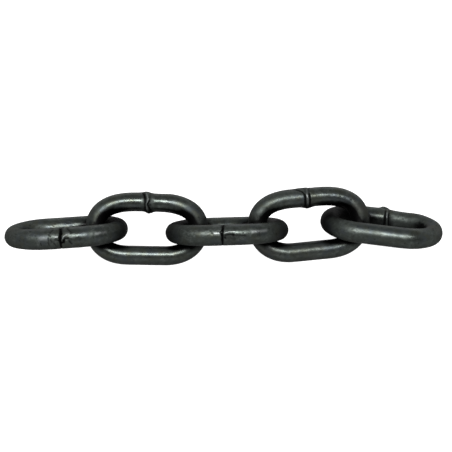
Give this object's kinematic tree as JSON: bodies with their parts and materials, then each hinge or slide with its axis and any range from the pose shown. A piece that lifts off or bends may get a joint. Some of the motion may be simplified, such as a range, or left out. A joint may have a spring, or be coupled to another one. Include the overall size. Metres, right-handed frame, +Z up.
{
  "type": "length of welded steel chain",
  "caption": "Short straight length of welded steel chain, its oval round-wire links interlocked and laid out flat, each with a butt weld on one side.",
  "frame": {"origin": "on the surface the chain lies on, under the middle of the chain's box", "axes": "+X along the chain, +Y away from the viewer, +Z up"},
  "size_m": [0.1242, 0.0232, 0.0159],
  "materials": {
    "dark_steel": "self-coloured dark steel with a thin oily mill scale, satin, with small pits and dull highlights"
  },
  "bodies": {
    "left_end": {"link_1": "dark_steel"},
    "left": {"link_2": "dark_steel"},
    "middle": {"link_3": "dark_steel"},
    "right": {"link_4": "dark_steel"},
    "right_end": {"link_5": "dark_steel"}
  },
  "joints": [
    {"name": "left_crossing", "type": "hinge", "parent": "middle", "child": "left", "pos_m": [-0.00727, -0.00073, 0.00706], "axis": [-0.0265, 0.6068, 0.7944], "range_deg": [-60, 60]},
    {"name": "right_crossing", "type": "hinge", "parent": "middle", "child": "right", "pos_m": [0.00945, -0.00096, 0.00787], "axis": [-0.0265, 0.6068, 0.7944], "range_deg": [-60, 60]},
    {"name": "left_end_crossing", "type": "hinge", "parent": "left", "child": "left_end", "pos_m": [-0.03003, -0.00032, 0.00708], "axis": [-0.0152, -0.543, 0.8396], "range_deg": [-60, 60]},
    {"name": "right_end_crossing", "type": "hinge", "parent": "right", "child": "right_end", "pos_m": [0.03023, 0.00349, 0.00666], "axis": [0.0811, -0.6417, 0.7627], "range_deg": [-60, 60]}
  ]
}
